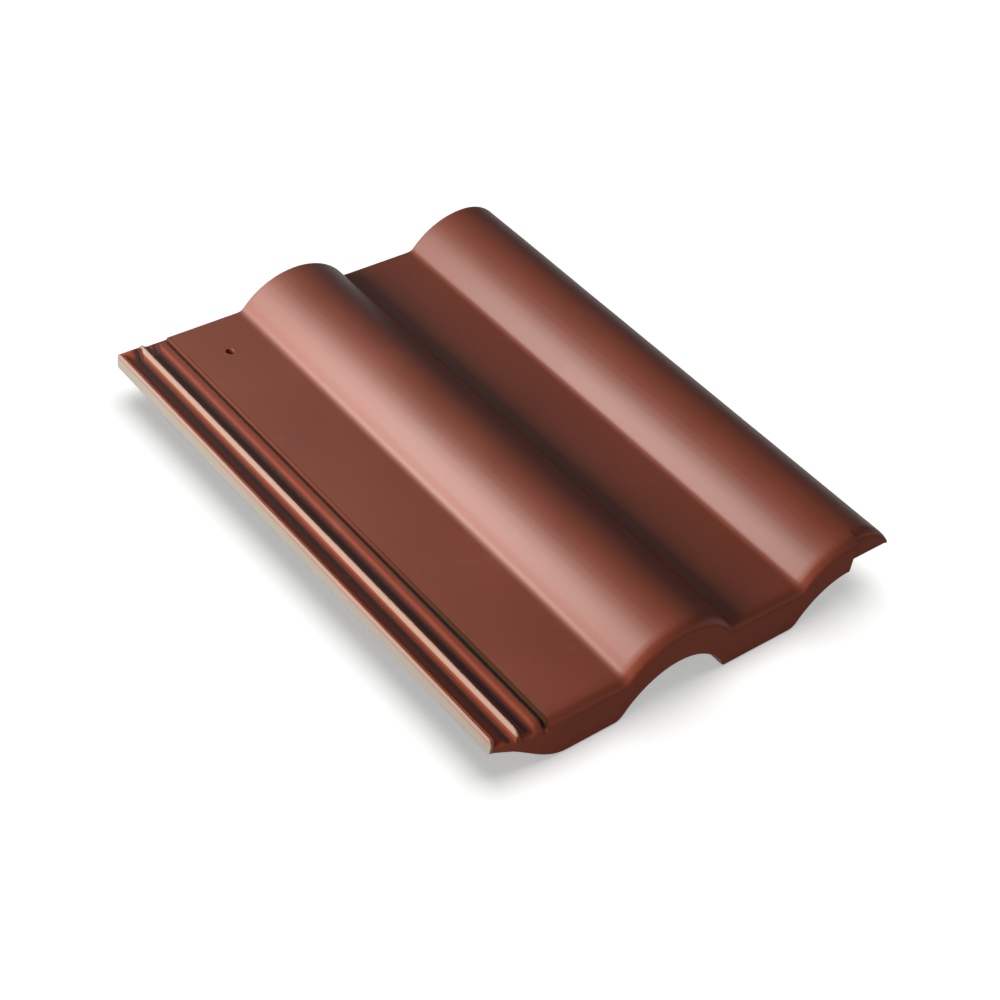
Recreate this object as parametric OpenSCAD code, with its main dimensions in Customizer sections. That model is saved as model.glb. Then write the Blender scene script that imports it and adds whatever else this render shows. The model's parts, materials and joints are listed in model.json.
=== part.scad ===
// Roof tile with two rolls and two flat pans, fired as one piece.
// X runs across the slope, from the underlap edge to the overlap edge.
// Y runs up the slope, from the deep nose at the tail to the head.
// The tile lies on the lower edge of its nose and on its two batten nibs, at Z = 0.

/* [Tile] */
// Length from the nose to the head
tile_len = 422; // [340:1:480]
// Width that one tile covers beside the next
cover_w = 300; // [260:1:340]
// Width by which the next tile laps over this one
side_lap = 30; // [27:1:36]
// Thickness of the pans and rolls
body_t = 12; // [10:0.5:14]
// Rounding of the head's two edges
head_r = 1.5; // [0.5:0.5:3]

/* [Rolls] */
// Height of a roll above the pans
roll_h = 23; // [20:0.5:26]
// Radius of a roll's crown
crown_r = 53; // [48:1:56]
// Radius of the fillet at a roll's left foot
left_foot_r = 8; // [4:1:10]
// Radius of the fillet at a roll's right foot
right_foot_r = 3; // [2:1:6]

/* [Nose] */
// Depth of the nose below the top of a pan
nose_pan_d = 36; // [33:0.5:41]
// Depth of the nose below the crown of a roll
nose_crown_d = 30.5; // [27:0.5:35]
// Length of the nose's lower edge, from front to back
nose_len = 16; // [12:1:30]
// Length of the slope from the lower edge up to the underside
nose_slope = 14; // [8:1:24]
// Rounding of the nose's upper edge
nose_top_r = 8.5; // [2:0.5:9]
// Rounding of its lower edge
nose_low_r = 2; // [1:0.5:4]
// Width over which the nose deepens and comes forward from the outer edge
nose_corner_w = 58; // [50:1:70]

/* [Underlap] */
// Gap between the next tile's edge and this tile's pan
pan_gap = 9; // [8:0.5:12]
// How far the outer edge ends short of the nose
underlap_back = 7; // [4:1:14]
// Width of the lip along the outer edge
lip_w = 2.5; // [2:0.5:5]
// Height of that lip above the underside
lip_h = 12; // [10:0.5:14]
// Height of the channels' floor above the underside
channel_h = 6.5; // [4:0.5:8]
// Distance of the water rib's top inside the next tile's edge
rib_in = 12; // [11:0.5:14]
// Width of the water rib at its top
rib_w = 2; // [1.5:0.5:3]
// Height of the water rib above the underside
rib_h = 13; // [11:0.5:13.5]
// Slant of the water rib's far side
rib_slant = 2.5; // [1:0.5:4]
// Distance of the bead's top beyond the next tile's edge
bead_out = 2; // [1:0.5:3]
// Width of the hollow slope that rises to the bead
bead_rise_w = 6; // [4:0.5:7]
// Height of the bead above the underside
bead_h = 10.5; // [9:0.5:12]
// Width of the groove between the bead and the pan
groove_w = 1.6; // [1.2:0.2:2.4]
// Depth of that groove below the pan
groove_d = 3.5; // [2:0.5:5]
// Slant of the strips' steep sides
side_draft = 0.8; // [0.4:0.1:1.2]
// Length of the stop that closes the channels at the head
stop_len = 4; // [3.5:0.5:8]
// Length of the slope from that stop down to a channel's floor
stop_slope = 5; // [3:0.5:10]

/* [Overlap] */
// Thickness of the strip that lies over the next tile
overlap_t = 8; // [6:0.5:9]
// Thickness left at its edge
overlap_edge_t = 2.7; // [2:0.1:4]
// How far the strip ends short of the nose
overlap_back = 3; // [0.5:0.5:8]
// Clearance of its lower edge above the next tile's bead
lap_clear = 0.5; // [0.5:0.5:2]

/* [Fixing] */
// Diameter of the nail hole
nail_hole_d = 6; // [4:0.5:8]
// Distance of the nail hole from the head
nail_hole_y = 36; // [32:1:45]
// Width of a batten nib
nib_w = 32; // [20:1:44]
// Length of a nib where it joins the underside
nib_len = 18; // [14:1:20]
// Length of a nib at its foot
nib_foot = 10; // [6:1:12]
// Distance of the nibs' batten face from the head
nib_face_y = 24; // [22:1:27]

/* [Hidden] */
fillet_steps = 6;
crown_steps = 20;
bead_steps = 6;
edge_steps = 5;
corner_steps = 6;
merge = 2;
pitch = cover_w / 2;
tile_w = cover_w + side_lap;
underlap_w = side_lap + pan_gap;
rib_x = side_lap - rib_in;
bead_x = side_lap + bead_out;
overlap_h = bead_h + lap_clear;
under_z = nose_pan_d - body_t;
pan_z = nose_pan_d;
top_z = pan_z + roll_h;
tail_y = -tile_len / 2;
head_y = tile_len / 2;
left_x = -tile_w / 2;
right_x = tile_w / 2;

// A foot's fillet and the crown meet on the line through their centres
function foot_run(r) = sqrt(roll_h * (2 * (crown_r + r) - roll_h));
function foot_angle(r) = acos(1 - roll_h / (crown_r + r));
left_run = foot_run(left_foot_r);
right_run = foot_run(right_foot_r);
left_angle = foot_angle(left_foot_r);
right_angle = foot_angle(right_foot_r);
pan_w = pitch - left_run - right_run;
pan_x = left_x + underlap_w;
crest_x = [pan_x + pan_w + left_run, pan_x + pan_w + left_run + pitch];
pan_mid_x = [pan_x + pan_w / 2, crest_x[1] - left_run - pan_w / 2];

// A surface point is [x, z, slope], with the slope in degrees
function left_fillet(cx) = [
    for (i = [0 : fillet_steps - 1])
        let (a = left_angle * i / fillet_steps)
            [cx - left_run + left_foot_r * sin(a), pan_z + left_foot_r * (1 - cos(a)), a]
];
function crown_point(cx, r, a) = [cx + r * sin(a), top_z - r * (1 - cos(a)), -a];
function crown(cx, r, from, to, steps) = [
    for (i = [0 : steps]) crown_point(cx, r, from + (to - from) * i / steps)
];
function right_fillet(cx) = [
    for (i = [1 : fillet_steps])
        let (a = right_angle * (1 - i / fillet_steps))
            [cx + right_run - right_foot_r * sin(a), pan_z + right_foot_r * (1 - cos(a)), -a]
];

// From the outer edge the nose deepens on a half wave, and comes forward on a round corner
function ease(t) = (1 - cos(180 * t)) / 2;
function corner_share(x) = min(1, (x - left_x) / nose_corner_w);
function nose_low(x) = under_z * (1 - ease(corner_share(x)));
function nose_y(x) = tail_y + underlap_back * pow(1 - corner_share(x), 2);

// At the head the channel by the lip is closed to the lip's height, and the rest to the bead's
function stop_h(x, h) = x <= lip_w ? h : max(h, x < rib_x ? lip_h : bead_h);

// A station is [top x, top z, lower x, lower z, tail y, nose depth, top z at the head]
function body_station(p) =
    let (depth = nose_pan_d + (nose_crown_d - nose_pan_d) * (p[1] - pan_z) / roll_h)
        [p[0], p[1], p[0] + body_t * sin(p[2]), p[1] - body_t * cos(p[2]),
         nose_y(p[0]), depth - nose_low(p[0]), p[1]];
function underlap_station(x, h) =
    [left_x + x, under_z + h, left_x + x, under_z,
     nose_y(left_x + x), under_z + h - nose_low(left_x + x), under_z + stop_h(x, h)];
function overlap_station(p, low_x, low_z) =
    [p[0], p[1], low_x, max(low_z, under_z + overlap_h),
     tail_y + overlap_back, p[1] - under_z - overlap_h, p[1]];

// The underlap: outer lip, channel, water rib, channel, bead and groove
groove_x = underlap_w - groove_w - side_draft;
groove_h = body_t - groove_d;
underlap_line = concat(
    [[0, lip_h - side_draft], [side_draft, lip_h], [lip_w, lip_h], [lip_w + side_draft, channel_h]],
    [[rib_x - rib_w / 2 - side_draft, channel_h], [rib_x - rib_w / 2, rib_h - side_draft]],
    [[rib_x - rib_w / 4, rib_h], [rib_x + rib_w / 4, rib_h]],
    [[rib_x + rib_w / 2, rib_h - side_draft], [rib_x + rib_w / 2 + rib_slant, channel_h]],
    [
        for (i = [0 : bead_steps])
            let (t = i / bead_steps)
                [bead_x - bead_rise_w * (1 - t), channel_h + (bead_h - channel_h) * ease(t)]
    ],
    [[groove_x - side_draft, bead_h], [groove_x, groove_h], [groove_x + groove_w, groove_h]]
);
underlap = [for (p = underlap_line) underlap_station(p[0], p[1])];

// Pan, roll, pan, and the last roll up to its crest
nose_corner_x = left_x + nose_corner_w;
body_line = concat(
    [for (i = [0 : corner_steps]) [pan_x + (nose_corner_x - pan_x) * i / corner_steps, pan_z, 0]],
    left_fillet(crest_x[0]),
    crown(crest_x[0], crown_r, -left_angle, right_angle, 2 * crown_steps),
    right_fillet(crest_x[0]),
    left_fillet(crest_x[1]),
    crown(crest_x[1], crown_r, -left_angle, 0, crown_steps)
);
body = [for (p = body_line) body_station(p)];

// The overlap carries the last roll on, in one arc from its crest down to the edge
overlap_run = right_x - crest_x[1];
overlap_drop = top_z - under_z - overlap_h - overlap_edge_t;
overlap_r = (overlap_run * overlap_run + overlap_drop * overlap_drop) / (2 * overlap_drop);
overlap_start = asin(side_draft / overlap_r);
overlap_end = asin(overlap_run / overlap_r);
overlap_line = crown(crest_x[1], overlap_r, overlap_start, overlap_end, crown_steps);
overlap = [
    for (i = [0 : crown_steps])
        let (p = overlap_line[i])
            i < crown_steps
                ? overlap_station(p, p[0] + overlap_t * sin(p[2]), p[1] - overlap_t * cos(p[2]))
                : overlap_station(p, right_x, 0)
];
stations = concat(underlap, body, overlap);

// The closed outline that a station gives, from the head along the top and back below
function outline(s) =
    let (top_x = s[0], top_z = s[1], low_x = s[2], low_z = s[3], y = s[4], depth = s[5], head_z = s[6])
    let (low = top_z - depth, top_r = min(nose_top_r, depth / 3), low_r = min(nose_low_r, depth / 3))
        concat(
            [[top_x, head_y, head_z - head_r], [top_x, head_y - head_r, head_z]],
            [[top_x, head_y - stop_len, head_z], [top_x, head_y - stop_len - stop_slope, top_z]],
            [
                for (i = [0 : edge_steps])
                    let (a = 90 * i / edge_steps)
                        [top_x, y + top_r * (1 - sin(a)), top_z - top_r * (1 - cos(a))]
            ],
            [
                for (i = [0 : edge_steps])
                    let (a = 90 * i / edge_steps)
                        [top_x, y + low_r * (1 - cos(a)), low + low_r * (1 - sin(a))]
            ],
            [[top_x, y + nose_len, low], [low_x, y + nose_len + nose_slope, low_z]],
            [[low_x, head_y - head_r, low_z], [low_x, head_y, low_z + head_r / 2]]
        );

// A skin over all the outlines, closed at both edges of the tile
module loft(list) {
    rings = [for (s = list) outline(s)];
    n = len(rings[0]);
    last = len(rings) - 1;
    sides = [
        for (i = [0 : last - 1], j = [0 : n - 1])
            let (k = (j + 1) % n, a = i * n + j, b = i * n + k, c = a + n, d = b + n)
                each [[a, c, b], [b, c, d]]
    ];
    first_end = [for (j = [0 : n - 1]) j];
    last_end = [for (j = [n - 1 : -1 : 0]) last * n + j];
    polyhedron([for (r = rings) each r], concat(sides, [first_end, last_end]), convexity = 8);
}

// A nib hooks on a batten with its upright face, which looks down the slope
module batten_nib(x) {
    face_y = head_y - nib_face_y;
    root_z = under_z + merge;
    translate([x - nib_w / 2, 0, 0])
        rotate([90, 0, 90])
            linear_extrude(nib_w)
                translate([face_y, 0])
                    polygon([[0, 0], [nib_foot, 0], [nib_len, root_z], [0, root_z]]);
}

module nail_hole() {
    translate([pan_mid_x[0], head_y - nail_hole_y, under_z - merge])
        cylinder(d = nail_hole_d, h = body_t + 2 * merge, $fn = 48);
}

module roof_tile() {
    color("#7d4638")
        difference() {
            union() {
                loft(stations);
                for (x = pan_mid_x)
                    batten_nib(x);
            }
            nail_hole();
        }
}

roof_tile();
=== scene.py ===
import json
import math
import bpy
import bmesh
from mathutils import Matrix, Vector, noise


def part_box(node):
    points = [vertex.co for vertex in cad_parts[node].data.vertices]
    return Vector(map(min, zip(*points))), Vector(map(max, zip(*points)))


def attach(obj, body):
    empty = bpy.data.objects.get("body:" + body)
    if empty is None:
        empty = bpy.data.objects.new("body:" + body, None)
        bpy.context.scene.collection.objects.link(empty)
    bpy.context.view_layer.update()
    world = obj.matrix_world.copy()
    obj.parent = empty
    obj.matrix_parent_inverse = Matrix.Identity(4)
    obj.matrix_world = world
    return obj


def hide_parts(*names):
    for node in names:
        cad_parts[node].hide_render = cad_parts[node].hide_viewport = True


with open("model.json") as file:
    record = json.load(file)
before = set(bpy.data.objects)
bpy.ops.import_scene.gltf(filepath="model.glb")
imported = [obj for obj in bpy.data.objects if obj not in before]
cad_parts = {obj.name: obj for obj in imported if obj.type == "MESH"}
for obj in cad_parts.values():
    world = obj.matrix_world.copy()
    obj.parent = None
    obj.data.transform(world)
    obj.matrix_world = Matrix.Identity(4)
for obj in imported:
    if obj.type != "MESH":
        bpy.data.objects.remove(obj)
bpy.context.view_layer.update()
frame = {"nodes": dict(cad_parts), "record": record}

mm = 0.001
lowCorner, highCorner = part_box("roof_tile")
print("frame loaded, tile box in mm", [round(v / mm, 1) for v in (*lowCorner, *highCorner)])


# sRGB hex to the linear values that the shader sockets take
def linear(hexColour):
    shares = [int(hexColour[i:i + 2], 16) / 255 for i in (1, 3, 5)]
    return (*[s / 12.92 if s <= 0.04045 else ((s + 0.055) / 1.055) ** 2.4 for s in shares], 1.0)


# one node with its settings and the links into its inputs
def addNode(tree, kind, inputs=None, links=None, **settings):
    node = tree.nodes.new(kind)
    for name, value in settings.items():
        setattr(node, name, value)
    for name, value in (inputs or {}).items():
        node.inputs[name].default_value = value
    for name, socket in (links or {}).items():
        tree.links.new(socket, node.inputs[name])
    return node


def newObject(name, data):
    thing = bpy.data.objects.new(name, data)
    bpy.context.scene.collection.objects.link(thing)
    return thing


def emptyTree(owner):
    owner.use_nodes = True
    owner.node_tree.nodes.clear()
    return owner.node_tree


# camera, fitted to the outline and creases of the tile in a square picture
view = {
    "target": (-22.2, -33.8, 25.1),   # mm
    "distance": 1378.8,               # mm
    "azimuth": -44.42,
    "elevation": 41.54,
    "roll": 9.06,
    "lens": 75.36,
    "sensor": 36.0,
}


def makeCamera():
    azimuth, elevation, roll = (math.radians(view[k]) for k in ("azimuth", "elevation", "roll"))
    back = Vector((math.sin(azimuth) * math.cos(elevation),
                   -math.cos(azimuth) * math.cos(elevation), math.sin(elevation)))
    level = Vector((0, 0, 1)).cross(back).normalized()
    right = Matrix.Rotation(roll, 3, back) @ level
    place = Matrix((right, back.cross(right), back)).transposed().to_4x4()
    place.translation = (Vector(view["target"]) + back * view["distance"]) * mm
    lens = bpy.data.cameras.new("camera")
    lens.lens, lens.sensor_width = view["lens"], view["sensor"]
    camera = newObject("camera", lens)
    camera.matrix_world = place
    bpy.context.scene.camera = camera


makeCamera()
print("camera placed")


# floor, room and lamps
studio = {
    "floorHalf": 30.0,         # m, wide enough to fill low views
    "floorColour": "#fbfbfa",  # as the camera, mirrors and glass see it
    "floorDim": "#8a8682",     # as the tile's matt faces see it
    "floorLift": 0.44,         # white that stays on the floor in the shadow
    "roomColour": "#ffffff",
    "roomDim": 0.08,           # the light that the room gives, though the camera sees it white
    "roomMirrored": 0.06,      # the share of that white which a glossy face shows
}
# soft boxes: where each stands and what it faces in m, its width and height in m, its watts, what it lights
lamps = {
    "window": {"at": (-1.10, 0.20, 0.48), "faces": (0.0, 0.20, 0.0), "size": (1.3, 0.38), "watts": 22.0,
               "lights": "tile", "mirrored": False},
    "sheen": {"at": (-0.40, 0.33, 0.45), "faces": (0.02, 0.33, 0.02), "size": (0.6, 0.52), "watts": 15.0,
              "lights": "tile", "matt": False, "colour": "#e0f6f4"},
    "fill": {"at": (-0.30, -1.20, 0.35), "faces": (0.0, 0.0, 0.0), "size": (1.0, 0.5), "watts": 1.3,
             "lights": "tile", "mirrored": False},
    "overhead": {"at": (4.5, 7.0, 33.0), "faces": (0.0, 0.0, 0.0), "size": (29.0, 29.0), "watts": 8600.0,
                 "lights": "floor"},
}


# 1 where the camera looks, also through glass, a share of it in a glossy face, and 0 from matt face to face
def addSeen(tree, mirrored):
    ray = addNode(tree, "ShaderNodeLightPath")
    seen = ray.outputs["Is Camera Ray"]
    for kind, share in (("Is Glossy Ray", mirrored), ("Is Transmission Ray", 1.0)):
        part = addNode(tree, "ShaderNodeMath", {1: share}, {0: ray.outputs[kind]}, operation="MULTIPLY")
        seen = addNode(tree, "ShaderNodeMath", links={0: seen, 1: part.outputs[0]},
                       operation="MAXIMUM").outputs[0]
    return seen


def makeFloor():
    bm = bmesh.new()
    bmesh.ops.create_grid(bm, x_segments=1, y_segments=1, size=studio["floorHalf"])
    mesh = bpy.data.meshes.new("floor")
    bm.to_mesh(mesh)
    bm.free()
    paper = bpy.data.materials.new("matt white paper")
    tree = emptyTree(paper)
    # dim where it isn't seen, so that it throws little light on the tile
    seen = addSeen(tree, 1.0)
    shade = addNode(tree, "ShaderNodeMix", {6: linear(studio["floorDim"]), 7: linear(studio["floorColour"])},
                    {0: seen}, data_type="RGBA").outputs[2]
    matt = addNode(tree, "ShaderNodeBsdfDiffuse", links={"Color": shade})
    lift = addNode(tree, "ShaderNodeMath", {1: studio["floorLift"]}, {0: seen}, operation="MULTIPLY")
    glow = addNode(tree, "ShaderNodeEmission", {"Color": linear(studio["floorColour"])},
                   {"Strength": lift.outputs[0]})
    both = addNode(tree, "ShaderNodeAddShader", links={0: matt.outputs[0], 1: glow.outputs[0]})
    addNode(tree, "ShaderNodeOutputMaterial", links={"Surface": both.outputs[0]})
    mesh.materials.append(paper)
    floor = newObject("floor", mesh)
    return floor


def makeLight(things):
    world = bpy.data.worlds.new("dim room")
    tree = emptyTree(world)
    strength = addNode(tree, "ShaderNodeMapRange", {3: studio["roomDim"], 4: 1.0},
                       {0: addSeen(tree, studio["roomMirrored"])})
    room = addNode(tree, "ShaderNodeBackground", {"Color": linear(studio["roomColour"])},
                   {"Strength": strength.outputs[0]})
    addNode(tree, "ShaderNodeOutputWorld", links={"Surface": room.outputs[0]})
    bpy.context.scene.world = world
    for name, lamp in lamps.items():
        bulb = bpy.data.lights.new(name, "AREA")
        bulb.shape, bulb.energy = "RECTANGLE", lamp["watts"]
        bulb.size, bulb.size_y = lamp["size"]
        bulb.color = linear(lamp.get("colour", "#ffffff"))[:3]
        stand = newObject(name, bulb)
        stand.location = lamp["at"]
        stand.rotation_euler = (stand.location - Vector(lamp["faces"])).to_track_quat("Z", "Y").to_euler()
        stand.visible_diffuse = lamp.get("matt", True)
        stand.visible_glossy = lamp.get("mirrored", True)
        lit = bpy.data.collections.new("lit by the " + name)
        lit.objects.link(things[lamp["lights"]])
        stand.light_linking.receiver_collection = lit


# the tile: the CAD solid, merged, with its sharp edges softened and the slight waves of pressed clay
tile = {
    "mergeWithin": 0.002,  # mm, corners this near become one
    "flatWithin": 0.3,     # degrees, triangles this flat become one face
    "sharp": 28.0,         # degrees, an edge that bends more is softened
    "edgeRound": 0.7,      # mm
    "edgeSegments": 2,
    "sliceStep": 5.0,      # mm between cuts along and across the tile
    "holeRing": 4.6,       # mm, cuts on each side of the nail hole
    "ringRoom": 3.0,       # no other cut nearer to these than a step divided by this
    "waveDepth": 0.35,     # mm, only inwards
    "waveLength": 70.0,    # mm
    "dimpleDepth": 0.08,   # mm
    "dimpleLength": 14.0,  # mm
    "creaseFrom": 40.0,    # degrees, a bend that stays sharp in the shading
    "lapEdge": -125.4,     # mm, the underlap lies left of this
    "lapFloor": 30.0,      # mm, and above this
    "lapFront": -0.5,      # and its faces look less toward the tail than this
}


def makeTile():
    bm = bmesh.new()
    bm.from_mesh(frame["nodes"]["roof_tile"].data)
    bmesh.ops.remove_doubles(bm, verts=bm.verts, dist=tile["mergeWithin"] * mm)
    bmesh.ops.dissolve_limit(bm, angle_limit=math.radians(tile["flatWithin"]),
                             verts=bm.verts, edges=bm.edges)
    sharp = [e for e in bm.edges if e.is_manifold and e.calc_face_angle(0) > math.radians(tile["sharp"])]
    bmesh.ops.bevel(bm, geom=sharp, offset=tile["edgeRound"] * mm, affect="EDGES",
                    segments=tile["edgeSegments"], profile=0.5, material=-1, clamp_overlap=True)
    # cuts across and along the tile, so that there are points to move
    hole = next(m for m in frame["record"]["mounts"] if m["name"] == "nail_hole")["pos_m"]
    step = tile["sliceStep"] * mm
    for axis in (0, 1):
        count = math.ceil((highCorner[axis] - lowCorner[axis]) / step)
        rings = [hole[axis] + side * tile["holeRing"] * mm for side in (-1, 1)]
        slices = [lowCorner[axis] + step * i for i in range(1, count)]
        clear = [s for s in slices if min(abs(s - r) for r in rings) > step / tile["ringRoom"]]
        for cut in rings + clear:
            normal = Vector((0, 0, 0))
            normal[axis] = 1
            bmesh.ops.bisect_plane(bm, geom=bm.verts[:] + bm.edges[:] + bm.faces[:],
                                   plane_co=normal * cut, plane_no=normal)
    bm.normal_update()
    # noise runs from -1 to 1, so a half plus half of it only moves points inwards
    for v in bm.verts:
        wave = 0.5 + 0.5 * noise.noise(v.co / (tile["waveLength"] * mm))
        dimple = 0.5 + 0.5 * noise.noise(v.co / (tile["dimpleLength"] * mm))
        v.co -= v.normal * (wave * tile["waveDepth"] + dimple * tile["dimpleDepth"]) * mm
    mesh = bpy.data.meshes.new("roof tile")
    bm.to_mesh(mesh)
    print("tile mesh", len(bm.verts), "vertices", sum(len(f.verts) - 2 for f in bm.faces), "triangles")
    bm.free()
    mesh.shade_smooth()
    mesh.set_sharp_from_angle(angle=math.radians(tile["creaseFrom"]))
    # the underlap's faces take the second material
    for face in mesh.polygons:
        inLap = face.center.x < tile["lapEdge"] * mm and face.center.z > tile["lapFloor"] * mm
        face.material_index = int(inLap and face.normal.y > tile["lapFront"])
    piece = newObject("clay_tile", mesh)
    # large faces keep their own shading beside the narrow softened edges
    even = piece.modifiers.new("even shading", "WEIGHTED_NORMAL")
    even.mode, even.keep_sharp = "FACE_AREA", True
    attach(piece, "root")
    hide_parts("roof_tile")
    return piece


# fired clay under a sprayed slip: satin brown-red on top, peach where the spray is thin and, on the steep
# faces turned to the window lamp, painted highlight; buff where it is bare; painted light and shade in the
# underlap
clay = {
    "coatDark": "#823a26",
    "coatLight": "#92462f",
    # peach: thin slip in part, and in part a painted highlight on the steep faces turned to the window lamp
    "thinAndLit": "#b0907f",
    "bare": "#9a8e81",
    # lighter, redder clay: painted light that lifts the shade in the underlap's channel and valley
    "channelPaintedLight": "#b8502e",
    # nearly black: painted shade in the crease at the foot of the rib
    "ribFootPaintedShade": "#331812",
    # dark red: painted shadow of the rib on the bead
    "beadPaintedShadow": "#5a2014",
    # darker in the groove, and darker still toward the tail
    "grooveDark": "#3f1c10",
    "grooveDarkTail": "#33240f",
    "scuffed": "#b8948a",
    # patterns, each with its size in mm and its noise detail
    "cloud": (55.0, 4.0),  # patches of the spray
    "scuff": (24.0, 6.0),  # rubbed spots
    "grain": (1.8, 2.0),   # sand grain, drawn about four times too coarse so that it shows
    "grainDepth": 0.035,   # mm
    "gloss": 0.5,          # specular level of the slip's glass, index 1.5
    "glossLap": 0.2,       # in the underlap, where little slip lands and the pores stay open
    "roughTop": 0.48,
    "roughDry": 0.86,      # where the spray lands dry: fronts, sides, below and the underlap
    "roughCloud": 0.06,    # how much the clouds change it
    # each fade goes from nothing to all between two values of a place in mm, a facing or a pattern
    "fades": {
        "steepLeft": ("facingX", -0.50, -0.80),
        "underlap": ("x", -144.5, -146.0),
        "aboveFoot": ("z", 32.3, 34.4),
        "ribLeft": ("x", -149.0, -148.3),
        "ribRight": ("x", -143.6, -145.0),
        "ribHigh": ("z", 32.2, 33.8),
        "channelLeft": ("x", -163.0, -161.5),
        "channelRight": ("x", -152.0, -156.0),
        "footLeft": ("x", -157.0, -153.0),
        "footRight": ("x", -150.3, -151.8),
        "valleyLeft": ("x", -146.5, -145.5),
        "valleyRight": ("x", -139.0, -140.5),
        "beadLeft": ("x", -141.0, -139.5),
        "beadRight": ("x", -134.5, -136.5),
        "grooveLeft": ("x", -131.5, -128.5),
        "grooveRight": ("x", -125.0, -125.8),
        "towardTail": ("y", 60.0, -140.0),
        "upperSide": ("z", 28.5, 30.0),
        "outerEdge": ("side", 163.0, 164.0),
        "lowEdge": ("z", 34.5, 31.0),
        "below": ("facingZ", -0.15, -0.45),
        "headEnd": ("facingY", 0.55, 0.85),
        "facingUp": ("facingZ", 0.25, 0.62),
        "nearHead": ("y", 120.0, 124.0),
        "underPan": ("z", 24.0, 22.8),
        "rubbed": ("scuffs", 0.64, 0.76),
    },
    # a patch lies where all of its fades do
    "patches": {
        # the steep faces turned to the window lamp, and the rib's top: peach, partly thin slip and partly
        # painted highlight
        "thinAndLitFace": ("steepLeft", "underlap", "aboveFoot"),
        "thinAndLitTop": ("ribLeft", "ribRight", "ribHigh"),
        "channel": ("channelLeft", "channelRight", "upperSide"),
        "foot": ("footLeft", "footRight", "upperSide"),
        "valley": ("valleyLeft", "valleyRight", "upperSide"),
        "groove": ("grooveLeft", "grooveRight", "upperSide"),
        "grooveTail": ("grooveLeft", "grooveRight", "upperSide", "towardTail"),
        "bead": ("beadLeft", "beadRight", "upperSide"),
        "nibs": ("nearHead", "underPan"),
        "lowSide": ("outerEdge", "lowEdge"),
        "scuffSpot": ("facingUp", "rubbed"),
    },
    # colours laid over the coat in this order, each with its patch and its share
    "layers": (
        # channel and valley: painted light; foot and bead: painted shade; the thin layers: partly painted
        # highlight
        ("channelPaintedLight", "channel", 0.8), ("channelPaintedLight", "valley", 0.7), ("grooveDark", "groove", 0.45),
        ("grooveDarkTail", "grooveTail", 0.85), ("thinAndLit", "thinAndLitFace", 1.0), ("thinAndLit", "thinAndLitTop", 1.0),
        ("ribFootPaintedShade", "foot", 0.9), ("beadPaintedShadow", "bead", 0.75), ("scuffed", "scuffSpot", 0.05),
        ("bare", "below", 1.0), ("bare", "headEnd", 1.0), ("bare", "nibs", 1.0), ("bare", "lowSide", 1.0),
    ),
}


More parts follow.
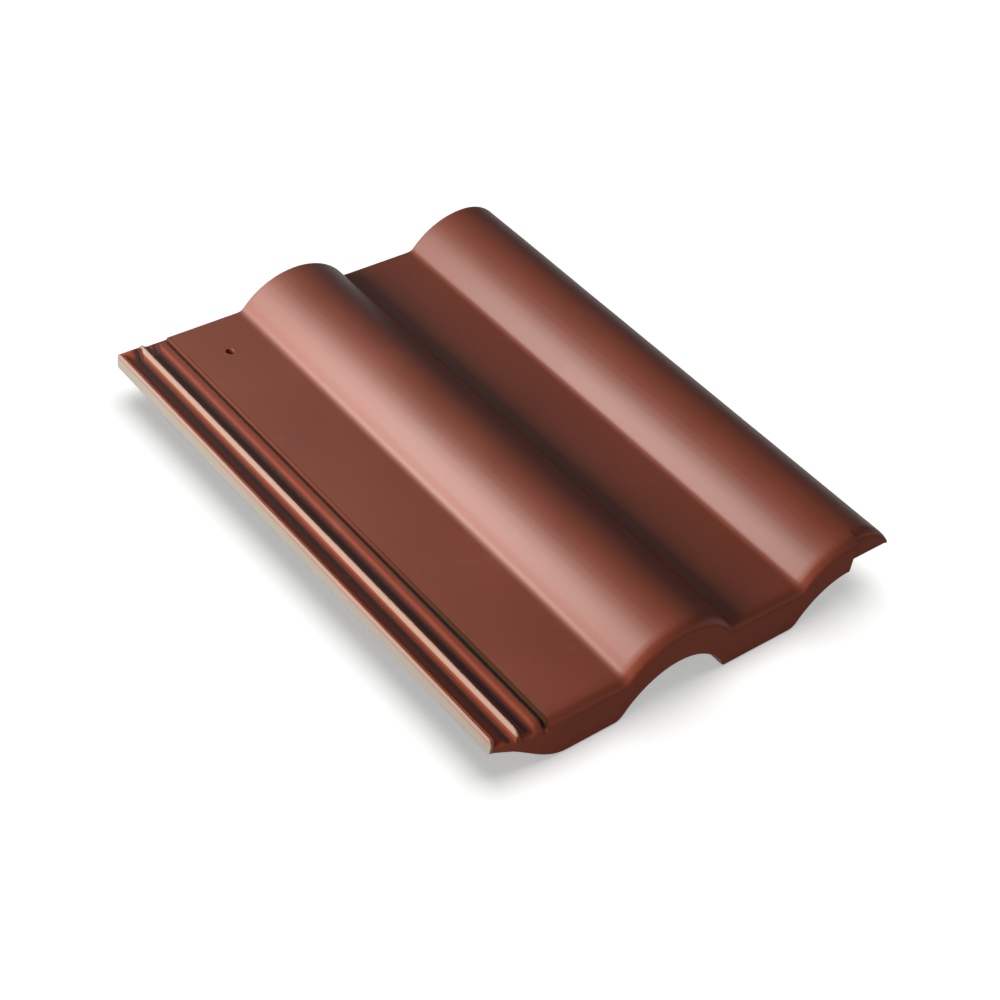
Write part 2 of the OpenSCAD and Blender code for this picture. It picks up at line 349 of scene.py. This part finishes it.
def makeClay(name, gloss, finish):
    skin = bpy.data.materials.new(name)
    tree = emptyTree(skin)
    place = addNode(tree, "ShaderNodeTexCoord")
    inMm = addNode(tree, "ShaderNodeVectorMath", {1: (1 / mm,) * 3}, {0: place.outputs["Object"]},
                   operation="MULTIPLY").outputs[0]
    spot = addNode(tree, "ShaderNodeSeparateXYZ", links={0: inMm}).outputs
    facing = addNode(tree, "ShaderNodeSeparateXYZ", links={0: place.outputs["Normal"]}).outputs
    side = addNode(tree, "ShaderNodeMath", links={0: spot["X"]}, operation="ABSOLUTE").outputs[0]
    # the spray lies in faint clouds, a few spots are rubbed, and a fine grain roughens it all
    cloud, scuffs, grain = (
        addNode(tree, "ShaderNodeTexNoise", {"Scale": 1 / size, "Detail": detail},
                {"Vector": inMm}).outputs[0]
        for size, detail in (clay["cloud"], clay["scuff"], clay["grain"]))
    sources = {"x": spot["X"], "y": spot["Y"], "z": spot["Z"], "side": side, "scuffs": scuffs,
               "facingX": facing["X"], "facingY": facing["Y"], "facingZ": facing["Z"]}

    masks = {}
    for fade, (source, start, end) in clay["fades"].items():
        masks[fade] = addNode(tree, "ShaderNodeMapRange", {1: start, 2: end}, {0: sources[source]},
                              interpolation_type="SMOOTHSTEP").outputs[0]
    for patch, fades in clay["patches"].items():
        masks[patch] = masks[fades[0]]
        for other in fades[1:]:
            masks[patch] = addNode(tree, "ShaderNodeMath", links={0: masks[patch], 1: masks[other]},
                                   operation="MULTIPLY").outputs[0]

    colour = addNode(tree, "ShaderNodeMix", {6: linear(clay["coatDark"]), 7: linear(clay["coatLight"])},
                     {0: cloud}, data_type="RGBA").outputs[2]
    for paint, patch, share in clay["layers"]:
        weight = addNode(tree, "ShaderNodeMath", {1: share}, {0: masks[patch]}, operation="MULTIPLY")
        colour = addNode(tree, "ShaderNodeMix", {7: linear(clay[paint])}, {0: weight.outputs[0], 6: colour},
                         data_type="RGBA").outputs[2]

    # satin on top, dry on the fronts, sides and below
    rough = addNode(tree, "ShaderNodeMapRange", {3: clay["roughDry"], 4: clay[finish]},
                    {0: masks["facingUp"]}).outputs[0]
    rough = addNode(tree, "ShaderNodeMath", {1: clay["roughCloud"]}, {0: cloud, 2: rough},
                    operation="MULTIPLY_ADD").outputs[0]
    bump = addNode(tree, "ShaderNodeBump", {"Strength": 1.0, "Distance": clay["grainDepth"] * mm},
                   {"Height": grain})
    shader = addNode(tree, "ShaderNodeBsdfPrincipled", {"Specular IOR Level": clay[gloss]},
                     {"Base Color": colour, "Roughness": rough, "Normal": bump.outputs[0]})
    addNode(tree, "ShaderNodeOutputMaterial", links={"Surface": shader.outputs[0]})
    return skin


floorPiece = makeFloor()
print("floor laid")
tilePiece = makeTile()
# the slip fires to a thin glassy skin, which gives the rolls their broad soft highlights
tilePiece.data.materials.append(makeClay("fired clay, sprayed satin slip", "gloss", "roughTop"))
# little of it lands in the underlap, so there the clay is dull and shows little shine
tilePiece.data.materials.append(makeClay("fired clay, dry in the underlap", "glossLap", "roughDry"))
print("tile dressed in", len(tilePiece.data.materials), "finishes")
makeLight({"tile": tilePiece, "floor": floorPiece})
print("lamps set")

bpy.context.scene.view_settings.view_transform = "Standard"
